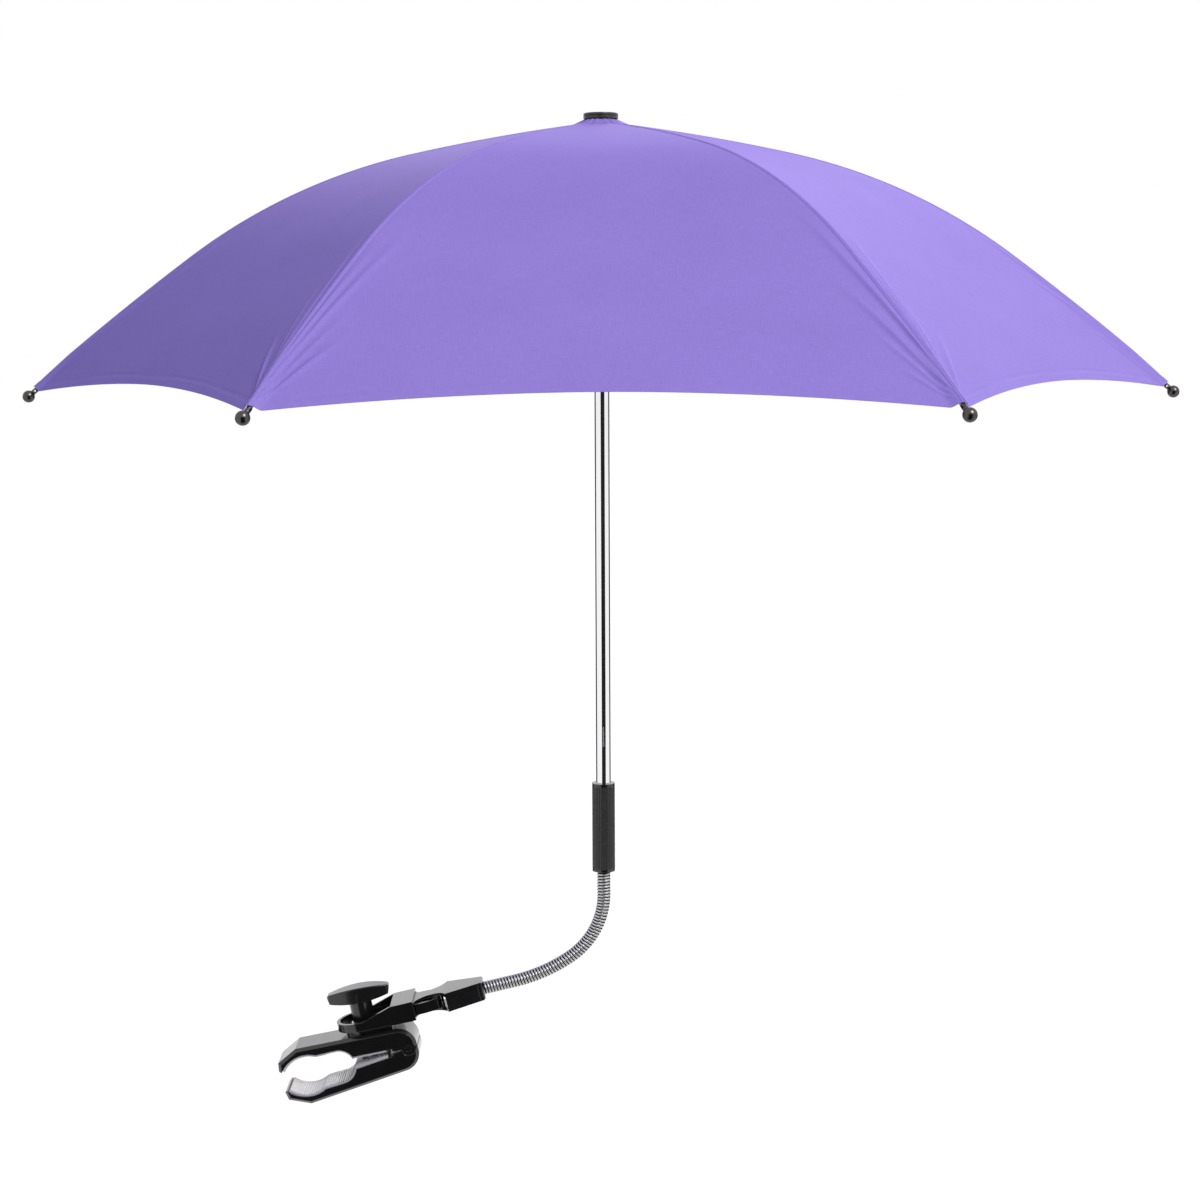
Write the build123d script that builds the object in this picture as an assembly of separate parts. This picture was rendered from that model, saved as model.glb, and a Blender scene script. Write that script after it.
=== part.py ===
from build123d import *
import math
import os

# Pram parasol: a six-gore canopy on a folding rib frame, a short pole, a flexible
# gooseneck, a quick-release plug, a swivel bracket and a screw clamp.
# +Z is up and +X points from the clamp to the pole. The origin is on the axis of the
# pushchair tube that the clamp grips. All sizes are millimetres and degrees.

# Running and fixed clearances
fit_gap = 0.05
running_gap = 0.1
loose_gap = 0.3

# Pushchair tube and clamp jaws
tube_r = 10.0
tube_reach = 48.5
jaw_tilt = 11.3
jaw_opening = 8.0
jaw_width = 29.0
jaw_height = 14.5
jaw_front = 75.0
nose_reach = 89.0
nose_height = 7.0
nose_lip = 3.0
jaw_back = 6.0
jaw_back_round = 12.5
jaw_bevel = 2.0
pad_thickness = 1.8
pad_width = 27.0
pad_back = 11.0
cusp_reach = 62.5
front_arc_r = 18.5
front_arc_reach = 70.1
front_arc_sink = 10.7

# Jaw hinge
hinge_pin_r = 2.0
knuckle_r = 4.6
centre_knuckle_width = 11.0
back_relief = 8.0
close_margin = 0.3
jaw_extra_opening = 7.0

# Clamp screw, nut and knob
screw_reach = 27.0
screw_r = 3.0
nut_depth = 14.0
nut_crown_r = 3.5
nut_foot = 1.5
nut_length = 13.0
nut_play = 0.45
screw_end_depth = 18.3
knob_length = 43.5
knob_width = 15.0
knob_mid_height = 11.0
knob_end_height = 6.0
knob_stem_r = 7.6
knob_stem_length = 14.0
knob_screw_grip = 9.0
knob_end_width = 6.8
knob_end_slant = 1.6
knob_crown_drop = 1.0
knob_rim_round = 0.8

# Swivel seat, washers and bracket
seat_height = 2.7
seat_r = 11.0
seat_back = 8.0
washer_thickness = 1.0
friction_washer_r = 9.5
knob_washer_r = 8.6
bracket_width = 32.0
bracket_ring_offset = 2.5
bracket_floor = 2.2
bracket_rim_height = 5.7
bracket_rim_wall = 2.3
gusset_wall = 2.0
gusset_drop = 0.6
socket_height = 13.0
socket_wall = 1.4
socket_side_wall = 2.2
socket_cavity = 13.0
socket_end_wall = 2.2
socket_mouth = 9.4
socket_mouth_rise = 25.1
socket_cant = 2.0
base_end_gap = 1.5
catch_room = 2.2

# Quick-release plug and its two squeeze arms
tongue_length = 12.0
plug_neck = 22.5
plug_body_length = 22.0
plug_cap_length = 3.2
plug_shoulder = 30.0
plug_end_width = 14.5
plug_height = 12.8
plug_waist = 12.0
plug_plate = 1.2
plug_rib = 7.0
plug_window_wall = 0.8
plug_end_drop = 0.2
plug_cap_bevel = 0.8
arm_reach_in = 10.8
arm_free_end = 17.5
arm_pivot_reach = 15.5
arm_pivot_offset = 7.0
arm_pivot_r = 1.5
arm_boss_r = 3.0
arm_thickness = 2.2
arm_pad_swell = 1.0
arm_pad_start = 1.6
arm_pad_fall = 2.6
arm_end_fall = 4.2
arm_root_cut = 2.8
catch_bulge = 1.0
catch_reach_in = 9.0
catch_ramp = 4.0
hose_grip = 12.0

# Gooseneck
hose_r = 4.5
hose_root_r = 3.75
hose_bore_r = 2.4
hose_pitch = 2.0
hose_low_straight = 21.5
hose_low_radius = 112.0
hose_high_turn = 55.6
hose_high_radius = 52.6
hose_high_straight = 16.1

# Pole and sleeve
pole_r = 5.0
pole_wall = 0.8
pole_rise = 490.3
sleeve_r = 7.65
sleeve_length = 60.0
sleeve_flutes = 36
sleeve_flute_depth = 0.25
sleeve_flute_r = 0.42
sleeve_plain_end = 2.0
sleeve_hose_depth = 20.0
sleeve_pole_start = 22.0
lower_catch_rise = 92.0
catch_height = 13.0
catch_leaf = 1.0
catch_stand_out = 1.9
catch_play = 0.5

# Crown, runner and cap
ribs = 6
pivot_r = 9.0
ring_wire_r = 0.6
notch_r = 11.0
notch_half = 1.9
notch_hub_r = 7.0
crown_hub_up = 5.1
crown_hub_down = 12.0
runner_hub_up = 5.0
runner_hub_down = 70.0
eye_r = 2.0
eye_thickness = 1.6
eye_length = 5.5
cap_r = 11.3
cap_height = 3.8
cap_plug_depth = 8.0
cap_round = 0.9
cap_groove = 0.35

# Ribs, stretchers and tips
rib_wire_r = 1.5
rib_start_slope = 7.0
rib_root_radius = 1240.0
rib_root_turn = 5.3
rib_bend_radius = 378.0
rib_bend_turn = 24.0
rib_end_radius = 1900.0
rib_end_turn = 4.0
rib_arcs = (
    (rib_root_radius, rib_root_turn),
    (rib_bend_radius, rib_bend_turn),
    (rib_end_radius, rib_end_turn),
)
rib_wire_start = 4.6
link_length = 175.0
rib_boss_r = 2.2
rivet_r = 0.75
cheek_thickness = 0.8
cheek_r = 1.7
cheek_length = 10.5
fork_bridge_reach = 8.5
stretcher_r = 1.2
rivet_head = 0.3
tip_ball_r = 4.0
tip_reach = 7.6
tip_neck_r = 1.7
tip_eye_r = 0.8
tip_eye_reach = 1.9

# Canopy
fabric_thickness = 0.5
fabric_lift = 2.9
fabric_edge_r = 367.5
fabric_collar_r = 15.0
fabric_neck_r = 10.2
fabric_hole_r = 8.0
hem_rise = 10.5
fabric_sections = 13


def turned(x, z, degrees):
    """Turn a point of the XZ plane from +X towards +Z."""
    c, s = math.cos(math.radians(degrees)), math.sin(math.radians(degrees))
    return x * c - z * s, x * s + z * c


def slab(face, width):
    """Stand a flat XY outline up in the XZ plane and give it a width along Y."""
    return extrude(Plane.XZ * face, amount=width / 2, both=True)


def rod(radius, length):
    """A round bar along Y, centred on the origin."""
    return Rot(90, 0, 0) * Cylinder(radius, length)


def disc_up(radius, low, high):
    """A round bar along Z between two heights."""
    return Pos(0, 0, (low + high) / 2) * Cylinder(radius, high - low)


def block(x_low, x_high, y_low, y_high, z_low, z_high):
    """A box given by its limits."""
    centre = ((x_low + x_high) / 2, (y_low + y_high) / 2, (z_low + z_high) / 2)
    return Pos(*centre) * Box(x_high - x_low, y_high - y_low, z_high - z_low)


# Frames: each jaw turns about the hinge pin, and the plug lies in its own frame
tube_sink = tube_reach * math.tan(math.radians(jaw_opening / 2))
pin_x, pin_z = turned(tube_reach, tube_sink, jaw_tilt)
upper_frame = Location((pin_x, 0, pin_z), (0, -jaw_tilt, 0))
lower_frame = Location((pin_x, 0, pin_z), (0, -(jaw_tilt + jaw_opening), 0))
plug_frame = upper_frame * Location((socket_mouth, 0, socket_mouth_rise), (0, -socket_cant, 0))
plug_tilt = jaw_tilt + socket_cant


def mouth_between_jaws(grow):
    """The opening of one jaw above the parting line, grown by the pad's thickness."""
    tube_round = Pos(-tube_reach, -tube_sink) * Circle(tube_r + grow)
    front_round = Pos(-front_arc_reach, -front_arc_sink) * Circle(front_arc_r + grow)
    cusp_height = math.sqrt(front_arc_r**2 - (front_arc_reach - cusp_reach) ** 2) - front_arc_sink
    flat = Polygon(
        (-cusp_reach, -1),
        (-tube_reach, -1),
        (-tube_reach, tube_r - tube_sink + grow),
        (-cusp_reach, cusp_height + grow),
        align=None,
    )
    front_span = 2 * front_arc_r
    keep_front = Pos(-cusp_reach - front_span / 2, 0) * Rectangle(front_span, 2 * front_span)
    opening = tube_round + flat + (front_round & keep_front)
    if grow > 0:
        slot_length = tube_reach - pad_back
        opening += Pos(-pad_back - slot_length / 2, grow / 2) * Rectangle(slot_length, grow)
    above_parting = Pos(-nose_reach / 2, nose_reach / 2) * Rectangle(2 * nose_reach, nose_reach)
    return opening & above_parting


def jaw_blank():
    """One jaw's outer shape above the parting line, bevelled along its outer edges."""
    with BuildSketch() as outline:
        with BuildLine():
            start = (jaw_back, 0)
            side = (jaw_back, jaw_height - jaw_back_round)
            top = (jaw_back - jaw_back_round, jaw_height)
            Line(start, side)
            RadiusArc(side, top, -jaw_back_round)
            Polyline(
                top,
                (-jaw_front, jaw_height),
                (-nose_reach + 0.6, nose_height),
                (-nose_reach, 1.2),
                (-nose_reach + nose_lip, 0),
                start,
            )
        make_face()
    blank = slab(outline.sketch, jaw_width)
    rims = [
        edge
        for edge in blank.edges()
        if abs(abs(edge.center().Y) - jaw_width / 2) < 0.01 and edge.center().Z > 0.7
    ]
    return chamfer(rims, jaw_bevel)


def half_band(sign, inner, outer, radius):
    """A knuckle: a round bar about the hinge pin on one side of the middle."""
    return Pos(0, sign * (inner + outer) / 2, 0) * rod(radius, outer - inner)


def relief():
    """The wedge that lets the backs of the jaws part as the noses open."""
    drop = (jaw_back + 4) * math.tan(math.radians(back_relief))
    wedge = Polygon((0, -1), (jaw_back + 4, -1), (jaw_back + 4, drop), (0, 0), align=None)
    return slab(wedge, jaw_width + 2)


def jaw(middle_knuckle):
    """A jaw above its parting line, with the knuckles that carry the hinge pin."""
    body = jaw_blank() - slab(mouth_between_jaws(pad_thickness), jaw_width + 2) - relief()
    inner, outer = centre_knuckle_width / 2, jaw_width / 2
    middle = rod(knuckle_r, 2 * inner - 2 * running_gap)
    middle_room = rod(knuckle_r + loose_gap, 2 * inner)
    sides = half_band(1, inner, outer, knuckle_r) + half_band(-1, inner, outer, knuckle_r)
    side_reach = outer + 1
    side_room = half_band(1, inner - running_gap, side_reach, knuckle_r + loose_gap)
    side_room += half_band(-1, inner - running_gap, side_reach, knuckle_r + loose_gap)
    if middle_knuckle:
        own, other = middle, side_room
    else:
        own, other = sides, middle_room
    bore = rod(hinge_pin_r + running_gap / 2, jaw_width + 2)
    return body - other + own - bore


def screw_slot(gap):
    """The room that the screw needs as the lower jaw swings."""
    front, back, half = screw_reach + 8.0, screw_reach - 4.0, screw_r + gap
    return block(-front, -back, -half, half, -1, jaw_height + 1)


def jaw_pad():
    """The soft grip that lines a jaw."""
    lining = mouth_between_jaws(pad_thickness) - mouth_between_jaws(0)
    return slab(lining, pad_width) - screw_slot(loose_gap)


def upper_jaw():
    body = jaw(middle_knuckle=False)
    seat_length = screw_reach + bracket_ring_offset - seat_back
    seat = Pos(-screw_reach - bracket_ring_offset, 0) * Circle(seat_r)
    seat += Pos(-seat_back - seat_length / 2, 0) * Rectangle(seat_length, 2 * seat_r)
    body += Pos(0, 0, jaw_height) * extrude(seat, amount=seat_height)
    hole = disc_up(screw_r + running_gap, -1, jaw_height + seat_height + 1)
    return body - Pos(-screw_reach, 0, 0) * hole


# The nut keeps square to the screw while the lower jaw swings past it
opening_sin = math.sin(math.radians(jaw_opening))
opening_cos = math.cos(math.radians(jaw_opening))
nut_line = screw_reach * opening_sin - nut_depth * opening_cos
nut_swing = nut_depth * opening_sin - screw_reach * (1 - opening_cos)


def lower_jaw():
    """The lower jaw is built above its parting line and turned over."""
    body = jaw(middle_knuckle=True)
    body -= screw_slot(loose_gap)
    room = nut_length / 2 + loose_gap
    nut_centre = screw_reach + nut_swing
    pocket_half = nut_crown_r + 2.6
    low = -nut_line - nut_crown_r - nut_play
    body -= block(-nut_centre - pocket_half, -nut_centre + pocket_half, -room, room, low, jaw_height + 1)
    return Rot(180, 0, 0) * body


def clamp_nut():
    crown = Circle(nut_crown_r) & Pos(0, nut_crown_r) * Rectangle(3 * nut_crown_r, 2 * nut_crown_r)
    foot = Pos(0, -nut_foot / 2) * Rectangle(2 * nut_crown_r, nut_foot)
    bar = slab(crown + foot, nut_length)
    return Pos(-screw_reach, 0, -nut_depth) * (bar - Cylinder(screw_r + running_gap, 20))


# Heights above the jaw's parting line, from the swivel seat up
washer_low = jaw_height + seat_height
bracket_low = washer_low + washer_thickness + running_gap
floor_top = bracket_low + bracket_floor
knob_washer_low = floor_top + running_gap
stem_low = knob_washer_low + washer_thickness
knob_middle = stem_low + knob_stem_length + knob_mid_height / 2


def washer(radius, low):
    ring = disc_up(radius, low, low + washer_thickness)
    return Pos(-screw_reach, 0, 0) * (ring - disc_up(screw_r + running_gap, low - 1, low + 2))


def round_ended(end_width):
    """A flat shape that rounds the wing's two ends and leaves its middle free."""
    middle = Rectangle(knob_length - 0.85 * end_width, 3 * knob_width)
    return SlotOverall(knob_length, end_width) + middle


def clamp_knob():
    """A boat-shaped wing on a round stem."""
    half, mid, end = knob_length / 2, knob_mid_height / 2, knob_end_height / 2
    shoulder, tip = half - knob_end_slant, knob_end_width / 2
    crown, keel = end - knob_crown_drop, -end - knob_crown_drop
    with BuildSketch() as side:
        with BuildLine():
            ThreePointArc((-half, crown), (0, mid - knob_crown_drop), (half, crown))
            Line((half, crown), (shoulder, keel))
            ThreePointArc((shoulder, keel), (0, -mid - knob_crown_drop / 2), (-shoulder, keel))
            Line((-shoulder, keel), (-half, crown))
        make_face()
    with BuildSketch() as plan:
        with BuildLine():
            ThreePointArc((-half, -tip), (0, -knob_width / 2), (half, -tip))
            Line((half, -tip), (half, tip))
            ThreePointArc((half, tip), (0, knob_width / 2), (-half, tip))
            Line((-half, tip), (-half, -tip))
        make_face()
    wing = slab(side.sketch, 2 * knob_width) & extrude(plan.sketch, amount=knob_mid_height, both=True)
    wing = fillet(wing.edges().filter_by(lambda edge: edge.length > knob_mid_height), knob_rim_round)
    wing &= extrude(round_ended(1.6 * knob_end_width), amount=knob_mid_height, both=True)
    wing &= Pos(0, 0, -knob_crown_drop) * slab(round_ended(1.5 * knob_end_height), 2 * knob_width)
    stem = disc_up(knob_stem_r, stem_low - knob_middle, 0)
    hole = disc_up(screw_r + fit_gap, stem_low - knob_middle - 1, stem_low - knob_middle + knob_screw_grip)
    return Pos(-screw_reach, 0, knob_middle) * (wing + stem - hole)


def clamp_screw():
    return Pos(-screw_reach, 0, 0) * disc_up(screw_r, -screw_end_depth, stem_low + knob_screw_grip - 0.2)


def obround(half_width, right):
    """A plan shape with a round left end about the ring's centre and a square right end."""
    centre = -screw_reach - bracket_ring_offset
    length = right - centre
    square_end = Pos(centre + length / 2, 0) * Rectangle(length, 2 * half_width)
    return Pos(centre, 0) * Circle(half_width) + square_end


def swivel_bracket():
    """A rimmed ring that turns under the knob, two gussets and the plug's socket."""
    half = bracket_width / 2
    socket_left = socket_mouth - socket_cavity - socket_end_wall
    base_right = socket_mouth - base_end_gap
    base = Pos(0, 0, bracket_low) * extrude(obround(half, base_right), amount=bracket_rim_height)
    inside = obround(half - bracket_rim_wall, socket_left)
    body = base - Pos(0, 0, floor_top) * extrude(inside, amount=20)
    top = socket_mouth_rise + socket_height / 2
    gusset = Polygon(
        (-screw_reach, bracket_low + 1),
        (socket_left + 1, bracket_low + 1),
        (socket_left + 1, top - gusset_drop),
        (socket_left - 0.5, top - gusset_drop),
        (-screw_reach, bracket_low + bracket_rim_height),
        align=None,
    )
    for side in (1, -1):
        body += Pos(0, side * (half - gusset_wall / 2), 0) * slab(gusset, gusset_wall)
    high = socket_height / 2
    box = block(-socket_cavity - socket_end_wall, 0, -half, half, -high, high)
    cavity = block(
        -socket_cavity,
        1,
        -half + socket_side_wall,
        half - socket_side_wall,
        -high + socket_wall,
        high - socket_wall,
    )
    pockets = Part()
    catch_edge = -catch_reach_in + catch_ramp
    for side in (1, -1):
        depth = half - socket_side_wall + catch_bulge
        pockets += block(
            -catch_reach_in - catch_room,
            catch_edge,
            min(0, side * depth),
            max(0, side * depth),
            -arm_half_height - loose_gap,
            arm_half_height + loose_gap,
        )
    in_jaw = Location((socket_mouth, 0, socket_mouth_rise), (0, -socket_cant, 0))
    body = body - in_jaw * block(-socket_cavity, 3, -half + 0.5, half - 0.5, -high + 0.2, high + 3)
    body += in_jaw * (box - cavity - pockets)
    hole = disc_up(screw_r + loose_gap, bracket_low - 1, floor_top + 1)
    return body - Pos(-screw_reach, 0, 0) * hole


# Heights inside the plug
tongue_half = socket_height / 2 - socket_wall - loose_gap / 2
arm_half_height = tongue_half - plug_plate - running_gap
cavity_half = bracket_width / 2 - socket_side_wall
tongue_width = cavity_half - loose_gap / 2
body_end = plug_neck + plug_body_length


def plug_plan():
    """The plug from above: a tongue, a drawn-in waist, shoulders and a tapered body."""
    waist, shoulder, end = plug_waist / 2, plug_shoulder / 2, plug_end_width / 2
    taper = end + (shoulder - end) * plug_cap_length / (plug_body_length + plug_cap_length)
    middle, outer_waist = plug_neck * 0.45, waist + 2.5
    tongue_root, neck_in, neck_out = 0.5, 3.2, plug_neck * 0.8
    with BuildSketch() as plan:
        with BuildLine():
            Polyline(
                (tongue_root, -tongue_width),
                (-tongue_length, -tongue_width),
                (-tongue_length, tongue_width),
                (tongue_root, tongue_width),
            )
            ThreePointArc((tongue_root, tongue_width), (neck_in, outer_waist), (middle, waist))
            ThreePointArc((middle, waist), (neck_out, outer_waist), (plug_neck, shoulder))
            Polyline((plug_neck, shoulder), (body_end, taper), (body_end, -taper), (plug_neck, -shoulder))
            ThreePointArc((plug_neck, -shoulder), (neck_out, -outer_waist), (middle, -waist))
            ThreePointArc((middle, -waist), (neck_in, -outer_waist), (tongue_root, -tongue_width))
        make_face()
    return plan.sketch


def plug_body():
    """Two plates on a middle rib, with a see-through window behind the arms, and the hose's block."""
    high = plug_height / 2
    side = Polygon(
        (-tongue_length, tongue_half),
        (1, tongue_half),
        (plug_neck - 1, high),
        (body_end, high - plug_end_drop),
        (body_end, -high + plug_end_drop),
        (plug_neck - 1, -high),
        (1, -tongue_half),
        (-tongue_length, -tongue_half),
        align=None,
    )
    body = extrude(plug_plan(), amount=high, both=True) & slab(side, plug_shoulder + 4)
    room = tongue_half - plug_plate
    for y in (1, -1):
        inner, outer = sorted((y * plug_rib / 2, y * plug_shoulder))
        body -= block(-tongue_length - 1, plug_neck, inner, outer, -room, room)
        post = disc_up(arm_pivot_r, -room - 0.5, room + 0.5)
        body += Pos(arm_pivot_reach, y * arm_pivot_offset, 0) * post
    window_low, window_high = arm_free_end, plug_neck - plug_window_wall
    body -= block(window_low, window_high, -plug_rib, plug_rib, -room, room)
    bore = Rot(0, 90, 0) * Cylinder(hose_r + fit_gap, hose_grip + 0.01)
    return body - Pos(body_end - hose_grip / 2, 0, 0) * bore


def plug_end_cap():
    high = plug_height / 2 - plug_end_drop
    end, shoulder = plug_end_width / 2, plug_shoulder / 2
    wide = end + (shoulder - end) * plug_cap_length / (plug_body_length + plug_cap_length)
    plan = Polygon((0, -wide), (plug_cap_length, -end), (plug_cap_length, end), (0, wide), align=None)
    cap = extrude(plan, amount=high, both=True)
    rims = cap.faces().sort_by(Axis.X)[-1].edges()
    cap = chamfer(rims, plug_cap_bevel)
    cap = Pos(body_end, 0, 0) * cap
    bore = Pos(body_end, 0, 0) * (Rot(0, 90, 0) * Cylinder(hose_r + fit_gap, 20))
    return cap - bore


def latch_arm(side):
    """One squeeze arm: a finger pad outside the mouth and a catch inside the socket."""
    face = tongue_width - 0.2
    back = face - arm_thickness
    pad = face + arm_pad_swell
    peak = face + catch_bulge
    pad_middle, pad_end = arm_free_end / 2, arm_free_end - 1.2
    heel = (arm_free_end - 0.2, arm_pivot_offset + 1.0)
    with BuildSketch() as plan:
        with BuildLine():
            Polyline(
                (-arm_reach_in, back),
                (-arm_reach_in, face),
                (-catch_reach_in - 1.0, peak),
                (-catch_reach_in, peak),
                (-catch_reach_in + catch_ramp, face),
                (0.8, face),
                (arm_pad_start, pad),
            )
            ThreePointArc((arm_pad_start, pad), (pad_middle, pad - 0.5), (pad_end, pad - arm_pad_fall))
            ThreePointArc((pad_end, pad - arm_pad_fall), (arm_free_end, pad - arm_end_fall), heel)
            Polyline(
                heel,
                (arm_pivot_reach - 2.4, heel[1]),
                (arm_pivot_reach - arm_root_cut, back - 1.2),
                (arm_pad_start, back - 0.2),
                (-arm_reach_in, back),
            )
        make_face()
    boss = Pos(arm_pivot_reach, arm_pivot_offset) * Circle(arm_boss_r)
    hole = Pos(arm_pivot_reach, arm_pivot_offset) * Circle(arm_pivot_r + running_gap)
    arm = extrude(plan.sketch + boss - hole, amount=arm_half_height, both=True)
    return arm if side > 0 else mirror(arm, Plane.XZ)


# The gooseneck's route: from the plug up to the sleeve, in the XZ plane
hose_start = (plug_frame * Pos(body_end + plug_cap_length, 0, 0)).position


def hose_point(along):
    """Place and heading (degrees above +X) at a length along the gooseneck."""
    x, z, heading = hose_start.X, hose_start.Z, plug_tilt
    low_turn = 90 - hose_high_turn - plug_tilt
    legs = (
        (None, hose_low_straight),
        (hose_low_radius, low_turn),
        (hose_high_radius, hose_high_turn),
        (None, hose_high_straight),
    )
    if along < 0:
        dx, dz = turned(along, 0, heading)
        return x + dx, z + dz, heading
    for radius, amount in legs:
        length = amount if radius is None else radius * math.radians(amount)
        step = min(along, length)
        if radius is None:
            dx, dz = turned(step, 0, heading)
        else:
            turn = math.degrees(step / radius)
            forward = radius * math.sin(step / radius)
            sideways = radius * (1 - math.cos(step / radius))
            dx, dz = turned(forward, sideways, heading)
            heading += turn
        x += dx
        z += dz
        along -= step
    dx, dz = turned(along, 0, heading)
    return x + dx, z + dz, heading


hose_length = (
    hose_low_straight
    + hose_low_radius * math.radians(90 - hose_high_turn - plug_tilt)
    + hose_high_radius * math.radians(hose_high_turn)
    + hose_high_straight
)
pole_x, sleeve_low, _ = hose_point(hose_length)
crown_z = sleeve_low + pole_rise
sleeve_high = sleeve_low + sleeve_length


def hose_ring(along, radius):
    """A circle square to the gooseneck, with its X axis held along Y."""
    x, z, heading = hose_point(along)
    dx, dz = turned(1, 0, heading)
    return Plane(origin=(x, 0, z), x_dir=(0, 1, 0), z_dir=(dx, 0, dz)) * Circle(radius)


def gooseneck():
    """A ribbed metal hose with plain ends that sit in the plug and in the sleeve."""
    rings = [hose_ring(0.4 - hose_grip, hose_r), hose_ring(0, hose_r)]
    count = round((hose_length - 0.6) / hose_pitch)
    pitch = (hose_length - 0.6) / count
    for n in range(count):
        start = 0.3 + n * pitch
        for share, radius in ((0.05, hose_root_r), (0.25, hose_root_r), (0.45, hose_r), (0.85, hose_r)):
            rings.append(hose_ring(start + share * pitch, radius))
    rings.append(hose_ring(hose_length, hose_r))
    rings.append(hose_ring(hose_length + sleeve_hose_depth - 0.4, hose_r))
    skin = loft(rings, ruled=True)
    start, finish = -hose_grip - 1, hose_length + sleeve_hose_depth + 1
    steps = 40
    core = [hose_ring(start, hose_bore_r), hose_ring(0, hose_bore_r)]
    core += [hose_ring(hose_length * (n + 1) / steps, hose_bore_r) for n in range(steps)]
    core.append(hose_ring(finish, hose_bore_r))
    return skin - loft(core, ruled=True)


def sleeve():
    """The grip between gooseneck and pole, fluted but for a plain band at each end."""
    flutes = Sketch()
    for n in range(sleeve_flutes):
        spoke = Rot(0, 0, 360 * n / sleeve_flutes)
        flutes += spoke * Pos(sleeve_r + sleeve_flute_r - sleeve_flute_depth, 0) * Circle(sleeve_flute_r)
    middle = extrude(Circle(sleeve_r) - flutes, amount=sleeve_length - 2 * sleeve_plain_end)
    body = disc_up(sleeve_r, 0, sleeve_plain_end) + Pos(0, 0, sleeve_plain_end) * middle
    body += disc_up(sleeve_r, sleeve_length - sleeve_plain_end, sleeve_length)
    body -= disc_up(hose_r + fit_gap, -1, sleeve_hose_depth)
    body -= disc_up(pole_r + fit_gap, sleeve_pole_start, sleeve_length + 1)
    return body - disc_up(hose_bore_r, sleeve_hose_depth - 1, sleeve_pole_start + 1)


# The whole length of a rib, from the crown's pivot to its tip
rib_run = sum(radius * math.radians(turn) for radius, turn in rib_arcs)


def rib_point(along):
    """Radius, height over the crown's pivots and downward slope along a rib."""
    r, z, slope = pivot_r, 0.0, rib_start_slope
    for radius, turn in rib_arcs:
        length = radius * math.radians(turn)
        step = min(max(along, 0), length)
        swept = math.degrees(step / radius)
        a, b = math.radians(slope), math.radians(slope + swept)
        r += radius * (math.sin(b) - math.sin(a))
        z -= radius * (math.cos(a) - math.cos(b))
        slope += swept
        along -= step
    a = math.radians(slope)
    return r + along * math.cos(a), z - along * math.sin(a), slope


def reach_along_rib(distance):
    """The length along a rib where the chord from its pivot has the given length."""
    low, high = 0.0, rib_run
    for _ in range(60):
        middle = (low + high) / 2
        r, z, _slope = rib_point(middle)
        if math.hypot(r - pivot_r, z) < distance:
            low = middle
        else:
            high = middle
    return (low + high) / 2


# Working points: the stretcher is as long as the chord from the crown's pivot to the rib's joint
joint_along = reach_along_rib(link_length)
joint_r, joint_z, joint_slope = rib_point(joint_along)
link_angle = math.degrees(math.asin(-joint_z / link_length))
runner_z = crown_z + 2 * joint_z
lower_catch_z = sleeve_low + lower_catch_rise
upper_catch_z = runner_z - runner_hub_down - catch_play - catch_height / 2


def pole():
    tube = disc_up(pole_r, sleeve_low + sleeve_pole_start, crown_z + crown_hub_up)
    tube -= disc_up(pole_r - pole_wall, sleeve_low, crown_z + crown_hub_up + 1)
    half = catch_leaf / 2 + running_gap
    for z in (lower_catch_z, upper_catch_z):
        tube -= block(-half, half, -pole_r - 1, 0, z - catch_height / 2 - 0.5, z + catch_height / 2 + 0.5)
    return Pos(pole_x, 0, 0) * tube


def runner_catch(z, shoulder):
    """A spring leaf whose tooth stands out of the pole, with its shoulder up (1) or down (-1)."""
    out, half = pole_r + catch_stand_out, shoulder * catch_height / 2
    inside = pole_r - pole_wall - 0.6
    back = inside - 2.6
    leaf = Polygon((-back, -half), (-inside, -half), (-out, half), (-back, half), align=None)
    plate = extrude(Plane.YZ * leaf, amount=catch_leaf / 2, both=True)
    return Pos(pole_x, 0, z) * plate


def notched_hub(up, down, bore):
    """A hub with a slotted, wire-grooved flange that rib or stretcher eyes hang in."""
    hub = disc_up(notch_hub_r, -down, up) + disc_up(notch_r, -notch_half, notch_half)
    ring_gap = ring_wire_r + running_gap
    groove = disc_up(notch_r + 1, -ring_gap, ring_gap) - disc_up(pivot_r - ring_gap, -2, 2)
    hub -= groove
    half = eye_thickness / 2 + running_gap
    slot = block(pivot_r - eye_r - running_gap, notch_r + 2, -half, half, -notch_half - 3, notch_half + 3)
    for n in range(ribs):
        hub -= Rot(0, 0, 360 * n / ribs) * slot
    return hub - disc_up(bore, -down - 1, up + 1)


def ring_wire():
    return Torus(pivot_r, ring_wire_r)


def crown():
    return Pos(pole_x, 0, crown_z) * notched_hub(crown_hub_up, crown_hub_down, pole_r + fit_gap)


def runner():
    body = notched_hub(runner_hub_up, runner_hub_down, pole_r + running_gap)
    half = catch_leaf / 2 + loose_gap
    keyway = block(-half, half, -notch_r - 1, 0, -runner_hub_down - 1, runner_hub_up + 1)
    room = disc_up(pole_r + catch_stand_out + loose_gap, -runner_hub_down - 1, runner_hub_up + 1)
    return Pos(pole_x, 0, runner_z) * (body - (keyway & room))


def eye():
    """A flat eye and its tongue, reaching out along +X from a ring wire."""
    plate = rod(eye_r, eye_thickness)
    plate += block(0, eye_length, -eye_thickness / 2, eye_thickness / 2, -1.3, 1.3)
    return plate - rod(ring_wire_r + 0.2, eye_thickness + 1)


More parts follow.
